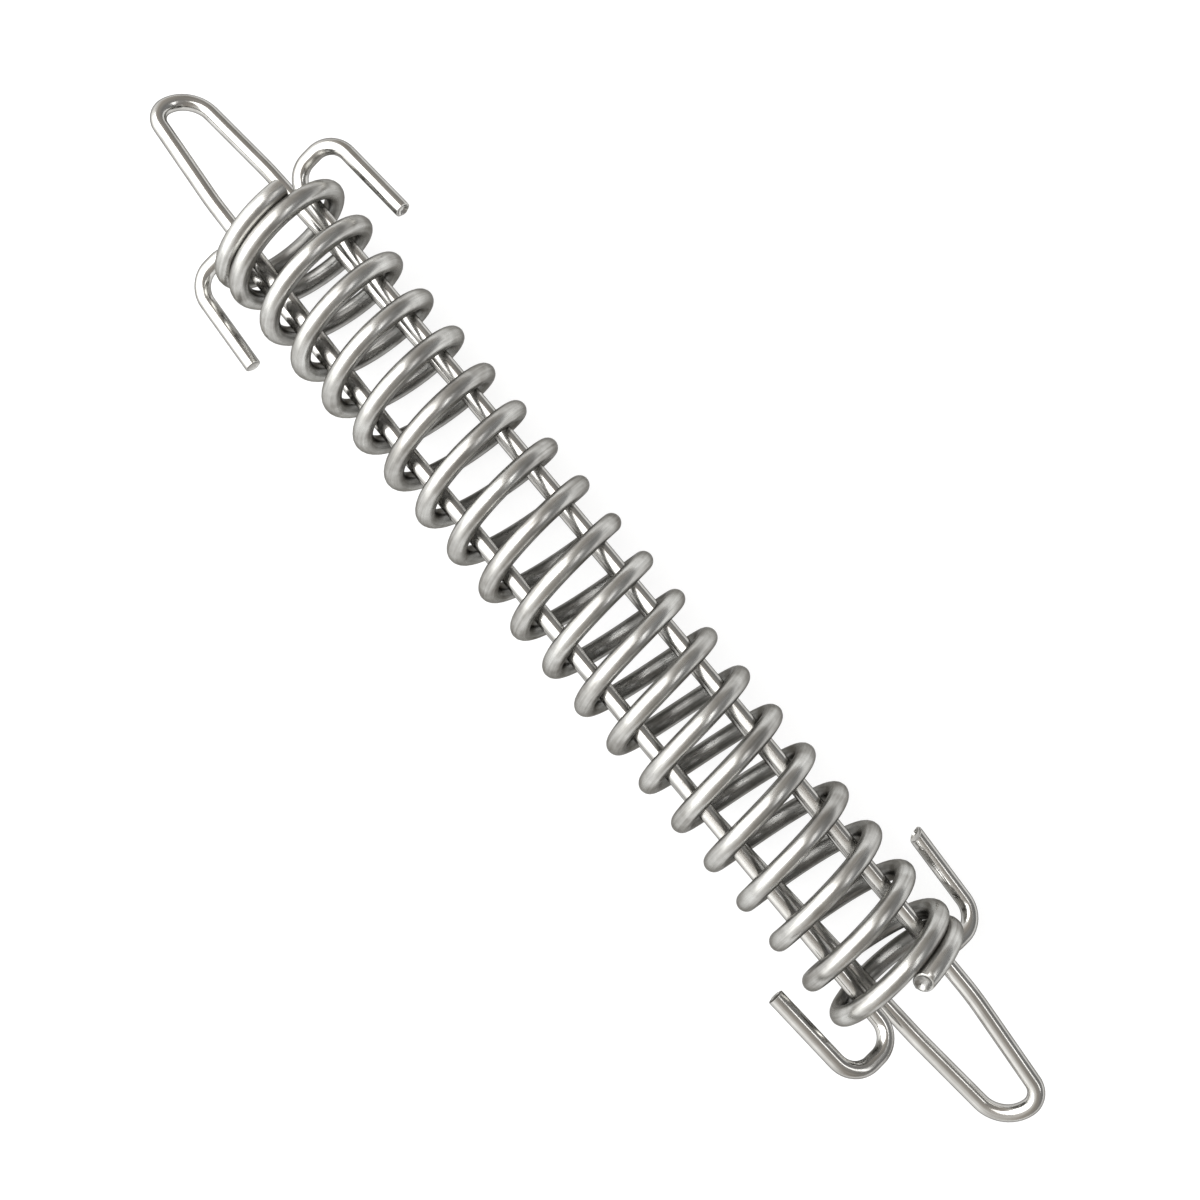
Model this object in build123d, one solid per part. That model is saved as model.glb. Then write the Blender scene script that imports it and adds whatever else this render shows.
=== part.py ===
"""Drawbar tension spring for a wire fence, lying with the coil along X.

Two U-shaped bars of bent wire run through a compression coil from opposite ends. Pulling
their loops apart draws the hooks of each bar against the far end of the coil and squeezes
it. The origin is half-way between the two loop tips, on the axis of the coil, +Z is up.
All sizes are in millimetres and angles in degrees unless a comment says turns.
"""

import os
from math import ceil, cos, pi, radians, sin, sqrt, tan

from build123d import *

# Coil: round wire, wound right-handed, with both end turns closed up but not ground
coil_wire = 4.2
coil_outer = 32.7
coil_pitch = 10.3
# The turns are counted from a point at the top, and the wire is cut off at these counts
first_cut = -1.075
last_cut = 19.986
# Gap between an end turn and the turn that it closes onto, and how far from its cut end,
# in turns, an end turn stays closed before it opens out to the full pitch
closed_gap = 0.1
first_nest = 0.1
last_nest = 0.25

# Drawbar: one length of round wire, bent flat
bar_wire = 3.5
bar_a_length = 241.5  # from the loop's tip to the bend of the nearer hook
bar_b_length = 242.5
bar_a_uneven = 5.0  # extra length of the leg whose hook stands off the coil
bar_b_uneven = 1.0
bar_a_off_seat = 0.0  # how far the nearer hook has slid off the end of the coil
bar_b_off_seat = 1.2
bar_a_tilt = -25.0  # turn of each bar's plane about the coil's axis
bar_b_tilt = 15.0
bar_a_shift = 0.0  # how far the loop lies to one side of the bar's middle line
bar_b_shift = -1.7

# Loop: two corners of unlike radius, as the bend comes off a bench tool
loop_tight = 3.9
loop_broad = 7.0
loop_flat = 0.15
loop_flare = 5.5  # angle at which both legs open out from the loop
neck_at = 24.0  # distance from the tip where the legs turn less steeply
spread_at = 90.0  # distance from the tip where the legs reach their full spacing
leg_bend = 60.0  # radius of those two gentle bends

# Hook: the leg turns outward over the end of the coil and runs back beside it
hook_face = 2.1  # short straight across the end of the hook
hook_play = 0.88  # room in the bend beyond what the coil's wire takes
return_bend = 5.5
return_angle = 4.0  # the end of the wire splays away from the coil
return_length = 22.4  # from the hook's bend to the cut end of the wire

clearance = 0.15  # between the corners of the wires' sections
leg_slack = 0.13  # further room between a leg and the inside of the coil

# Each wire has flats in place of its round, and measures its diameter across them. The
# coil runs straight from one station to the next
wire_sides = 8
stations_per_turn = 18

# Sizes that follow from the ones above
coil_radius = (coil_outer - coil_wire) / 2
closed_pitch = coil_wire + closed_gap
mid_count = (first_cut + last_cut) / 2
coil_corner = coil_wire / 2 / cos(pi / wire_sides)
bar_corner = bar_wire / 2 / cos(pi / wire_sides)
coil_inside = coil_radius * cos(pi / stations_per_turn) - coil_corner
hook_bend = bar_corner + coil_corner + clearance + hook_play
leg_half = coil_inside - bar_corner - clearance - leg_slack
loop_corner = tan(radians(90 - loop_flare) / 2)
loop_half = ((loop_tight + loop_broad) * loop_corner + loop_flat) / 2
neck_half = loop_half + neck_at * tan(radians(loop_flare))
return_corner = tan(radians(90 - return_angle) / 2)
return_half = leg_half + hook_bend + hook_face + return_bend * return_corner


def wire_section(plane, diameter):
    """Section of a wire, with a flat facing along the plane's X."""
    flats = RegularPolygon(diameter / 2, wire_sides, major_radius=False)
    return plane * Rot(0, 0, 180 / wire_sides) * flats


def opening_out(turns, nest):
    """Distance from the end turn to its neighbour, some turns in from the cut end."""
    part_way = min(max((turns - nest) / (1 - nest), 0), 1)
    return closed_pitch + (coil_pitch - closed_pitch) * (1 - cos(pi * part_way)) / 2


def turn_x(count):
    """Place along the axis of the wire's centre at a count of turns."""
    if count - first_cut < 1:
        neighbour = coil_pitch * (count + 1 - mid_count)
        return neighbour - opening_out(count - first_cut, first_nest)
    if last_cut - count < 1:
        neighbour = coil_pitch * (count - 1 - mid_count)
        return neighbour + opening_out(last_cut - count, last_nest)
    return coil_pitch * (count - mid_count)


def turn_point(count):
    """Centre of the coil's wire at a count of turns."""
    angle = 2 * pi * count
    return Vector(turn_x(count), -coil_radius * sin(angle), coil_radius * cos(angle))


def turn_direction(count):
    """Direction of the coil's wire at a count of turns."""
    step = 1e-4
    return (turn_point(count + step) - turn_point(count - step)).normalized()


def end_turn_x(angle, at_last_end):
    """Place along the axis of the outermost wire, at an angle from +Y towards +Z."""
    count = (angle - 90) / 360
    if at_last_end:
        return turn_x(last_cut - (last_cut - count) % 1)
    return turn_x(first_cut + (count - first_cut) % 1)


def coil_spring():
    """The compression coil, lofted from station to station between its two cut ends."""
    steps = ceil((last_cut - first_cut) * stations_per_turn)
    sections = []
    for step in range(steps + 1):
        count = first_cut + (last_cut - first_cut) * step / steps
        centre = turn_point(count)
        outward = Vector(0, centre.Y, centre.Z)
        across = Plane(origin=centre, x_dir=outward, z_dir=turn_direction(count))
        sections.append(wire_section(across, coil_wire))
    return loft(sections, ruled=True)


def leg(side, bend_x, shift):
    """Corners and bend radii of one leg, from its cut end to the corner at the loop's tip."""
    splay = return_length * tan(radians(return_angle))
    corners = [
        (bend_x - return_length, side * (return_half + splay)),
        (bend_x, side * return_half),
        (bend_x, side * leg_half),
        (spread_at, side * leg_half),
        (neck_at, side * neck_half + shift),
        (0, side * loop_half + shift),
    ]
    loop_radius = loop_broad if side > 0 else loop_tight
    return corners, [return_bend, hook_bend, leg_bend, leg_bend, loop_radius]


def drawbar(length, uneven, shift):
    """One bar, flat in XY, with the tip of its loop at the origin and its hooks at +X."""
    near, near_radii = leg(1, length, shift)
    far, far_radii = leg(-1, length + uneven, shift)
    path = FilletPolyline(*near, *reversed(far), radius=near_radii + far_radii[::-1])
    across = Plane(origin=path @ 0, x_dir=(0, 0, 1), z_dir=path % 0)
    return sweep(wire_section(across, bar_wire), path=path)


# Each bar is seated by its nearer hook, whose bend closes round the last wire of the coil
seat_depth = sqrt(leg_slack * (2 * hook_play - leg_slack))
hook_reach = hook_bend - seat_depth
bar_a_seat = end_turn_x(bar_a_tilt, True) + hook_reach + bar_a_off_seat
bar_b_end = min(end_turn_x(bar_b_tilt + turn, False) for turn in (0, 180))
bar_b_seat = bar_b_end - hook_reach - bar_b_off_seat
bar_a_tip = bar_a_seat - bar_a_length
bar_b_tip = bar_b_seat + bar_b_length
middle = (bar_a_tip + bar_b_tip) / 2

spring = coil_spring()
bar_a = Pos(bar_a_tip) * Rot(bar_a_tilt) * drawbar(bar_a_length, bar_a_uneven, bar_a_shift)
bar_b = (
    Pos(bar_b_tip)
    * Rot(bar_b_tilt)
    * Rot(0, 0, 180)
    * drawbar(bar_b_length, bar_b_uneven, bar_b_shift)
)

os.makedirs("parts", exist_ok=True)
for name, solid in {"coil_spring": spring, "drawbar_a": bar_a, "drawbar_b": bar_b}.items():
    export_step(Pos(-middle) * solid, f"parts/{name}.step")
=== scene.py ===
from math import cos, pi, radians, sin, tan

import bpy
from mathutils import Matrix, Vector


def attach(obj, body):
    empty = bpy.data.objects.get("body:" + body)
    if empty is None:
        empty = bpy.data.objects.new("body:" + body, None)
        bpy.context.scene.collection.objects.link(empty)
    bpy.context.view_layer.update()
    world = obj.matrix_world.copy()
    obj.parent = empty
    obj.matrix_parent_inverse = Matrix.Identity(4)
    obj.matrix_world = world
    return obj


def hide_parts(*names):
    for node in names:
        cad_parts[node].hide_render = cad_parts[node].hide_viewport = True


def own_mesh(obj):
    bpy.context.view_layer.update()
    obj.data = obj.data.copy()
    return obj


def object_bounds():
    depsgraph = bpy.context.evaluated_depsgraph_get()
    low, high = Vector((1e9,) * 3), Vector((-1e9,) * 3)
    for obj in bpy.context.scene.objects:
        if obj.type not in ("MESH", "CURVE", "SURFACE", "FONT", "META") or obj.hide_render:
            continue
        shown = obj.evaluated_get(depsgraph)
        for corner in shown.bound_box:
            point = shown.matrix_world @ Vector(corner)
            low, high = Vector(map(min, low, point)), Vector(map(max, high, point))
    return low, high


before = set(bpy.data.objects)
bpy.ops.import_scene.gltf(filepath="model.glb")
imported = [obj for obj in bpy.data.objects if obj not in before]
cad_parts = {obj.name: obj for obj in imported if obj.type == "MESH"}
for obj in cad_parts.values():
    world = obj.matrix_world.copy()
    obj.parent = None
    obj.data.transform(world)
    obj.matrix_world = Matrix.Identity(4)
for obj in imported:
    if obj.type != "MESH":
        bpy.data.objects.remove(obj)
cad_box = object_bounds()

# Camera
# The photograph looks almost straight down on the spring. The loop of drawbar_a lies in
# the upper left corner of the picture, and that of drawbar_b in the lower right one.
bpy.ops.object.camera_add(
    location=(0.03557, 0.00305, 0.35769),
    rotation=(radians(3.802), radians(3.347), radians(50.222)),
)
camera = bpy.context.object
camera.data.lens = 52.09
camera.data.sensor_width = 36
bpy.context.scene.camera = camera


# Coil spring
# A compression spring of hard-drawn steel wire, coiled cold with an open pitch. Both end
# turns are closed onto their neighbours, and the wire is sheared off without any grinding.
coil_wire = 0.0042
coil_radius = 0.01425
coil_pitch = 0.0103
closed_pitch = 0.0043  # from an end turn to the neighbour that it is closed onto
# The turns are counted from a point at the top, and the wire is cut off at these counts
first_cut = -1.075
last_cut = 19.986
# Each end turn stays closed for this part of a turn, and then opens out to the full pitch
first_nest = 0.1
last_nest = 0.25
# The part's origin lies here, measured from the middle of the coil
middle = -0.0003487
# Stations of the centre line on each turn, and sides of the round wire
coil_stations = 48
coil_sides = 28


def opening_out(turns, nest):
    """Distance from the end turn to its neighbour, some turns in from the cut end."""
    part_way = min(max((turns - nest) / (1 - nest), 0), 1)
    return closed_pitch + (coil_pitch - closed_pitch) * (1 - cos(pi * part_way)) / 2


def turn_x(count):
    """Place along the axis of the wire's centre at a count of turns."""
    from_middle = count - (first_cut + last_cut) / 2
    if count - first_cut < 1:
        return coil_pitch * (from_middle + 1) - opening_out(count - first_cut, first_nest)
    if last_cut - count < 1:
        return coil_pitch * (from_middle - 1) + opening_out(last_cut - count, last_nest)
    return coil_pitch * from_middle


def take_up(piece):
    """Makes one object the only one selected, and the active one."""
    bpy.ops.object.select_all(action="DESELECT")
    piece.select_set(True)
    bpy.context.view_layer.objects.active = piece


def drawn_point(name, place):
    """A single point at a place, from which the centre line of a wire is drawn."""
    bpy.ops.object.select_all(action="DESELECT")
    bpy.ops.mesh.primitive_plane_add(size=0.001)
    line = bpy.context.object
    line.name = name
    bpy.ops.object.mode_set(mode="EDIT")
    bpy.ops.mesh.select_mode(type="VERT")
    bpy.ops.mesh.select_all(action="SELECT")
    bpy.ops.mesh.merge(type="CENTER")
    bpy.ops.object.mode_set(mode="OBJECT")
    line.data.vertices[0].co = place
    return line


def thicken(line, diameter, sides):
    """Turns a centre line into a round wire, still open at its ends."""
    take_up(line)
    bpy.ops.object.convert(target="CURVE")
    line = bpy.context.object
    line.data.dimensions = "3D"
    line.data.bevel_depth = diameter / 2
    # A round bevel has four sides, and two more for each step of its resolution
    line.data.bevel_resolution = (sides - 4) // 2
    bpy.ops.object.convert(target="MESH")
    wire = bpy.context.object
    wire.data.name = wire.name
    return wire


def ring_centres(wire, sides):
    """Centres of the rings of points that make up a wire, from its start to its end."""
    points = wire.data.vertices
    rings = [points[first:first + sides] for first in range(0, len(points), sides)]
    return [sum((point.co for point in ring), Vector()) / sides for ring in rings]


def grain_along(wire, diameter, sides):
    """Writes each point's distance along the wire and its place in the section."""
    grain = wire.data.attributes.new("grain", "FLOAT_VECTOR", "POINT")
    centres = ring_centres(wire, sides)
    run = 0
    for ring, centre in enumerate(centres):
        run += (centre - centres[max(ring - 1, 0)]).length
        for side in range(sides):
            angle = 2 * pi * side / sides
            place = (run, diameter / 2 * cos(angle), diameter / 2 * sin(angle))
            grain.data[ring * sides + side].vector = place


def shear_end(wire, diameter, end_side, slant, towards, rim, dish):
    """Cuts and closes the end of an open wire that lies furthest to one side.

    The cut is slanted, so that it looks a little towards another side. It is left with a
    rim round a shallow dish, both measured in metres.
    """
    take_up(wire)
    runs = [point.vector.x for point in wire.data.attributes["grain"].data]
    whole = max(runs)
    rounding = 0.00001

    def ring_centre(run):
        """Centre of the ring of points that lies at one distance along the wire."""
        ring = [p.co for p in wire.data.vertices if abs(runs[p.index] - run) < rounding]
        return sum(ring, Vector()) / len(ring)

    at_start = (ring_centre(0) - ring_centre(whole)).dot(end_side) > 0
    from_end = runs if at_start else [whole - run for run in runs]
    next_ring = min(run for run in from_end if run > rounding)
    end = ring_centre(0 if at_start else whole)
    inward = (ring_centre(next_ring if at_start else whole - next_ring) - end).normalized()
    side = (towards - inward * towards.dot(inward)).normalized()
    facing = side * sin(slant) - inward * cos(slant)
    # The cut clears the very end of the wire, and only the wire near its end is cut
    shortest_stub = diameter / 40
    cut = end + inward * (diameter / 2 * tan(slant) + shortest_stub)
    reach = max(next_ring, 3 * diameter) + rounding
    bpy.ops.object.mode_set(mode="EDIT")
    bpy.ops.mesh.select_mode(type="FACE")
    bpy.ops.mesh.select_all(action="DESELECT")
    bpy.ops.object.mode_set(mode="OBJECT")
    for face in wire.data.polygons:
        face.select = all(from_end[point] < reach for point in face.vertices)
    bpy.ops.object.mode_set(mode="EDIT")
    bpy.ops.mesh.bisect(plane_co=cut, plane_no=facing, use_fill=True, clear_outer=True)
    bpy.ops.mesh.select_all(action="DESELECT")
    bpy.ops.object.mode_set(mode="OBJECT")
    for face in wire.data.polygons:
        on_cut = (face.center - cut).length < diameter / 4
        face.select = on_cut and len(face.vertices) > 4
    bpy.ops.object.mode_set(mode="EDIT")
    # A small chamfer, the flat rim, and the two steps of the dish
    for inset, depth in ((rim / 3, rim / 6), (rim / 3, 0), (rim, -dish), (rim, -dish / 3)):
        bpy.ops.mesh.inset(thickness=inset, depth=depth, use_individual=True)
    bpy.ops.object.mode_set(mode="OBJECT")


start_angle = 2 * pi * first_cut
start_place = Vector((0, -coil_radius * sin(start_angle), coil_radius * cos(start_angle)))
line = drawn_point("coil_spring_wire", start_place)
winding = line.modifiers.new("Winding", "SCREW")
winding.axis = "X"
winding.angle = 2 * pi * (last_cut - first_cut)
winding.screw_offset = coil_pitch * (last_cut - first_cut)
winding.steps = winding.render_steps = round((last_cut - first_cut) * coil_stations)
bpy.ops.object.modifier_apply(modifier=winding.name)
stations = len(line.data.vertices)
for station, point in enumerate(line.data.vertices):
    count = first_cut + (last_cut - first_cut) * station / (stations - 1)
    point.co.x = turn_x(count) - middle
coil = thicken(line, coil_wire, coil_sides)
grain_along(coil, coil_wire, coil_sides)
up = Vector((0, 0, 1))
right = Vector((1, 0, 0))
# Shearing left the last end of the wire slanted, so that the cut looks up
shear_end(coil, coil_wire, right, slant=radians(36), towards=up, rim=0.0006, dish=0.0005)
shear_end(coil, coil_wire, -right, slant=radians(4), towards=up, rim=0.0003, dish=0.0001)
# Only the edges of the cuts are sharper than this
smooth_below = radians(35)
bpy.ops.object.shade_smooth_by_angle(angle=smooth_below)


def linear(hex_colour):
    """A colour written as sRGB hex, as the linear values that a shader takes."""
    levels = []
    for place in (1, 3, 5):
        level = int(hex_colour[place:place + 2], 16) / 255
        levels.append(level / 12.92 if level <= 0.04045 else ((level + 0.055) / 1.055) ** 2.4)
    return (*levels, 1)


def add_node(nodes, kind, inputs=(), **settings):
    """Adds a shader node with its settings. An input that is a socket is linked."""
    node = nodes.new(kind)
    for name, value in settings.items():
        setattr(node, name, value)
    for name, value in dict(inputs).items():
        if isinstance(value, bpy.types.NodeSocket):
            nodes.id_data.links.new(value, node.inputs[name])
        else:
            node.inputs[name].default_value = value
    return node


def drawn_steel(name, light, dark, rim_tint, roughness, streak_mm, streak_depth, painted_shade_inside=1):
    """Bright drawn steel wire, with the fine lines of the die along it.

    The inside of a coil's turns, towards its axis, can be darkened by painted shade.
    """
    steel = bpy.data.materials.new(name)
    steel.use_nodes = True
    nodes = steel.node_tree.nodes
    nodes.clear()
    grain = add_node(nodes, "ShaderNodeAttribute", attribute_name="grain").outputs["Vector"]
    # The die's lines run many millimetres along the wire and are a fraction of one wide
    runs_per_metre = 60
    lines_per_metre = 1000 / streak_mm
    stretch = (runs_per_metre, lines_per_metre, lines_per_metre)
    along = add_node(
        nodes, "ShaderNodeVectorMath", {0: grain, 1: stretch}, operation="MULTIPLY",
    )
    lines = add_node(
        nodes, "ShaderNodeTexNoise",
        {"Vector": along.outputs[0], "Scale": 1, "Detail": 4, "Roughness": 0.6},
    )
    # Broader cloudy patches of dull and bright metal, about 4 mm across
    patches = add_node(
        nodes, "ShaderNodeTexNoise",
        {"Vector": grain, "Scale": 250, "Detail": 3, "Roughness": 0.5},
    )
    both = add_node(
        nodes, "ShaderNodeMix", {"Factor": 0.5, "A": lines.outputs[0], "B": patches.outputs[0]},
    )
    # The noise keeps near its middle, so that part of its range is spread over the whole
    worn = add_node(
        nodes, "ShaderNodeMapRange",
        {"Value": both.outputs[0], "From Min": 0.35, "From Max": 0.65},
    )
    tones = add_node(nodes, "ShaderNodeValToRGB", {"Fac": worn.outputs[0]})
    tones.color_ramp.elements[0].color = linear(dark)
    tones.color_ramp.elements[1].color = linear(light)
    colour = tones.outputs[0]
    # Painted shade: the colour darkens on the inner side of the turns, towards the coil's axis,
    # where the turns shade each other
    if painted_shade_inside < 1:
        here = add_node(nodes, "ShaderNodeTexCoord").outputs["Object"]
        aside = add_node(
            nodes, "ShaderNodeVectorMath", {0: here, 1: (0, 1, 1)}, operation="MULTIPLY",
        )
        from_axis = add_node(
            nodes, "ShaderNodeVectorMath", {0: aside.outputs[0]}, operation="LENGTH",
        )
        inside = add_node(
            nodes, "ShaderNodeMapRange",
            {
                "Value": from_axis.outputs["Value"],
                "From Min": coil_radius - coil_wire / 2,
                "From Max": coil_radius + coil_wire / 8,
                "To Min": painted_shade_inside,
                "To Max": 1,
            },
        )
        shaded_colour = add_node(
            nodes, "ShaderNodeVectorMath", {0: colour, "Scale": inside.outputs[0]},
            operation="SCALE",
        )
        colour = shaded_colour.outputs[0]
    gloss_range = 0.05
    gloss = add_node(
        nodes, "ShaderNodeMapRange",
        {
            "Value": worn.outputs[0],
            "To Min": roughness + gloss_range,
            "To Max": roughness - gloss_range,
        },
    )
    relief = add_node(
        nodes, "ShaderNodeBump", {"Height": lines.outputs[0], "Distance": streak_depth},
    )
    shader = add_node(
        nodes, "ShaderNodeBsdfPrincipled",
        {
            "Base Color": colour,
            "Metallic": 1,
            "Roughness": gloss.outputs[0],
            "Specular Tint": linear(rim_tint),
            "Normal": relief.outputs[0],
        },
    )
    add_node(nodes, "ShaderNodeOutputMaterial", {"Surface": shader.outputs[0]})
    return steel


# Hard-drawn carbon spring steel: a satin grey with soft lines, darker at a glancing angle,
# and with painted shade darkening the inside of the turns
coil_steel = drawn_steel(
    "hard_drawn_spring_steel", light="#d6d6d3", dark="#9e9c98", rim_tint="#858380",
    roughness=0.29, streak_mm=0.6, streak_depth=0.000020, painted_shade_inside=0.43,
)
coil.data.materials.clear()
coil.data.materials.append(coil_steel)
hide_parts("coil_spring")
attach(coil, "coil_and_bar")
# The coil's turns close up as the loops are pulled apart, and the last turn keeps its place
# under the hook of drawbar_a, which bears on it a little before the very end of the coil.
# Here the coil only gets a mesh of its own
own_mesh(coil)


# Drawbars
# Each is one length of thinner galvanised wire, bent on a bench tool into a narrow U. Its
# ends are bent outward over the last turn of the coil and back beside it as open hooks.
bar_wire = 0.0035
bar_sides = 28
# Each half width is from the bar's middle line to the centre of the wire, and neck_at and
# spread_at are measured from the tip of the loop
leg_half = 0.0095863
loop_tight = 0.0039  # bend radii of the loop's two corners, which a bench tool left unlike
loop_broad = 0.0070
loop_half = 0.0050254
neck_at = 0.024
neck_half = 0.0073364
spread_at = 0.090
leg_bend = 0.060
hook_bend = 0.0051972
return_half = 0.0220123
return_bend = 0.0055
return_length = 0.0224
return_splay = return_length * tan(radians(4))


def round_corner(line, corner, radius, segments):
    """Rounds one corner of a drawn line to a bend of the given radius."""
    bpy.ops.object.mode_set(mode="EDIT")
    bpy.ops.mesh.select_mode(type="VERT")
    bpy.ops.mesh.select_all(action="DESELECT")
    bpy.ops.object.mode_set(mode="OBJECT")
    nearest = min(line.data.vertices, key=lambda point: (point.co - corner).length)
    nearest.select = True
    runs = []
    for edge in line.data.edges:
        if nearest.index in edge.vertices:
            other = sum(edge.vertices) - nearest.index
            runs.append(line.data.vertices[other].co - nearest.co)
    turning = pi - runs[0].angle(runs[1])
    bpy.ops.object.mode_set(mode="EDIT")
    bpy.ops.mesh.bevel(affect="VERTICES", offset=radius * tan(turning / 2), segments=segments)
    bpy.ops.object.mode_set(mode="OBJECT")


def drawbar(name, length, uneven, shift, place, turn, cuts):
    """One bent bar, from the cut end of its nearer hook to that of its farther one."""
    # Each corner has its place, the radius of its bend and the segments that round it
    hook_segments, leg_segments, loop_segments = 12, 6, 14
    bends = []
    for side, reach, loop in ((1, length, loop_broad), (-1, length + uneven, loop_tight)):
        cut_end = Vector((reach - return_length, side * (return_half + return_splay), 0))
        leg = [
            (cut_end, 0, 0),
            (Vector((reach, side * return_half, 0)), return_bend, hook_segments),
            (Vector((reach, side * leg_half, 0)), hook_bend, hook_segments),
            (Vector((spread_at, side * leg_half, 0)), leg_bend, leg_segments),
            (Vector((neck_at, side * neck_half + shift, 0)), leg_bend, leg_segments),
            (Vector((0, side * loop_half + shift, 0)), loop, loop_segments),
        ]
        bends += leg if side > 0 else leg[::-1]
    line = drawn_point(name, bends[0][0])
    bpy.ops.object.mode_set(mode="EDIT")
    bpy.ops.mesh.select_mode(type="VERT")
    bpy.ops.mesh.select_all(action="SELECT")
    for (here, _, _), (there, _, _) in zip(bends, bends[1:]):
        bpy.ops.mesh.extrude_region_move(TRANSFORM_OT_translate={"value": there - here})
    bpy.ops.object.mode_set(mode="OBJECT")
    for corner, radius, segments in bends[1:-1]:
        round_corner(line, corner, radius, segments)
    line.rotation_euler = turn
    line.location = place
    bpy.ops.object.transform_apply(location=True, rotation=True, scale=True)
    bar = thicken(line, bar_wire, bar_sides)
    grain_along(bar, bar_wire, bar_sides)
    for end_side, slant, towards, rim, dish in cuts:
        shear_end(bar, bar_wire, end_side, radians(slant), towards, rim, dish)
    bpy.ops.object.shade_smooth_by_angle(angle=smooth_below)
    bar.data.materials.clear()
    bar.data.materials.append(bright_wire)
    return bar


# Bright galvanised wire: smoother and paler than the coil, with finer lines
bright_wire = drawn_steel(
    "bright_galvanised_wire", light="#d2d1ce", dark="#b2b0ac", rim_tint="#4c4a48",
    roughness=0.18, streak_mm=0.4, streak_depth=0.000003,
)
back = Vector((0, 1, 0))
# The centre of the wire at the tip of each loop, along the axis
tip_a = -0.1370158
tip_b = 0.1370158
# Each cut has its side, slant in degrees, the side that it looks to, its rim and its dish
bar_a = drawbar(
    "drawbar_a_wire", length=0.2415, uneven=0.005, shift=0,
    place=(tip_a, 0, 0), turn=(radians(-25), 0, 0),
    cuts=((back, 30, up - back, 0.0004, 0.0004), (-back, 2, up, 0.0003, 0.0001)),
)
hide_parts("drawbar_a")
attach(bar_a, "pulled_bar")
bar_b = drawbar(
    "drawbar_b_wire", length=0.2425, uneven=0.001, shift=-0.0017,
    place=(tip_b, 0, 0), turn=(radians(-15), 0, pi),
    cuts=((back, 8, up, 0.0005, 0.0005), (-back, 5, up, 0.0003, 0.0001)),
)
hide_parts("drawbar_b")
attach(bar_b, "coil_and_bar")


# Studio
# A plain white table under the spring, which takes a faint soft shadow. One wide soft lamp
# hangs beyond the left of the picture, and a narrow weak one beyond the right.
table_top = cad_box[0][2]
bpy.ops.object.select_all(action="DESELECT")
bpy.ops.mesh.primitive_plane_add(size=6, location=(0, 0, table_top))
floor = bpy.context.object
floor.name = "floor"
bpy.ops.object.transform_apply(location=True)
table = bpy.data.materials.new("white_table")
table.use_nodes = True
nodes = table.node_tree.nodes
nodes.clear()
# A matt grey that takes the shadow, and a glow that lifts it to white where it is seen. The
# glow is a little weaker in the metal's reflections
table_grey = 0.20
glow_seen = 0.86
glow_mirrored = 0.8
matt = add_node(nodes, "ShaderNodeBsdfDiffuse", {"Color": (table_grey,) * 3 + (1,)})
rays = add_node(nodes, "ShaderNodeLightPath").outputs
reflected = add_node(
    nodes, "ShaderNodeMath",
    {0: rays["Is Glossy Ray"], 1: rays["Is Transmission Ray"]}, operation="MAXIMUM",
)
mirrored = add_node(
    nodes, "ShaderNodeMath", {0: reflected.outputs[0], 1: glow_mirrored}, operation="MULTIPLY",
)
level = add_node(
    nodes, "ShaderNodeMath",
    {0: rays["Is Camera Ray"], 1: glow_seen, 2: mirrored.outputs[0]},
    operation="MULTIPLY_ADD",
)
glow = add_node(nodes, "ShaderNodeEmission", {"Strength": level.outputs[0]})
whole = add_node(nodes, "ShaderNodeAddShader", {0: matt.outputs[0], 1: glow.outputs[0]})
add_node(nodes, "ShaderNodeOutputMaterial", {"Surface": whole.outputs[0]})
floor.data.materials.append(table)

# The walls of the room are paler to the lower left of the picture and darker opposite. The
# camera itself sees plain white behind the table
world = bpy.data.worlds.new("studio")
bpy.context.scene.world = world
world.use_nodes = True
nodes = world.node_tree.nodes
around = add_node(nodes, "ShaderNodeTexCoord").outputs["Generated"]
darker_side = (0.35, 0.5, 0)
across = add_node(
    nodes, "ShaderNodeVectorMath", {0: around, 1: darker_side}, operation="DOT_PRODUCT",
)
place = add_node(nodes, "ShaderNodeMath", {0: across.outputs["Value"], 1: 0.5}, operation="ADD")
walls = add_node(nodes, "ShaderNodeValToRGB", {"Fac": place.outputs[0]})
walls.color_ramp.elements[0].color = (1.9, 1.9, 1.88, 1)
walls.color_ramp.elements[1].color = (0.27, 0.27, 0.27, 1)
pale = walls.color_ramp.elements.new(0.22)
pale.color = (1.0, 0.99, 0.97, 1)
warm = walls.color_ramp.elements.new(0.5)
warm.color = (0.46, 0.425, 0.385, 1)
rays = add_node(nodes, "ShaderNodeLightPath").outputs
# Inputs 6 and 7 and output 2 of this node are its two colours and their mix
backdrop = add_node(
    nodes, "ShaderNodeMix",
    {"Factor": rays["Is Camera Ray"], 6: walls.outputs[0], 7: (1, 1, 1, 1)}, data_type="RGBA",
)
world.node_tree.links.new(backdrop.outputs[2], nodes["Background"].inputs["Color"])


def soft_lamp(name, place, width, depth, watts):
    """A rectangular soft box that hangs level over the table and shines straight down."""
    bpy.ops.object.light_add(type="AREA", location=place)
    lamp = bpy.context.object
    lamp.name = name
    lamp.data.shape = "RECTANGLE"
    lamp.data.size = width
    lamp.data.size_y = depth
    lamp.data.energy = watts


soft_lamp("ceiling_lamp", (-0.725, -0.75, 0.8), width=1.55, depth=1.9, watts=29)
soft_lamp("strip_lamp", (0.65, 0.62, 0.8), width=0.9, depth=0.22, watts=1.6)

bpy.context.scene.view_settings.view_transform = "Standard"
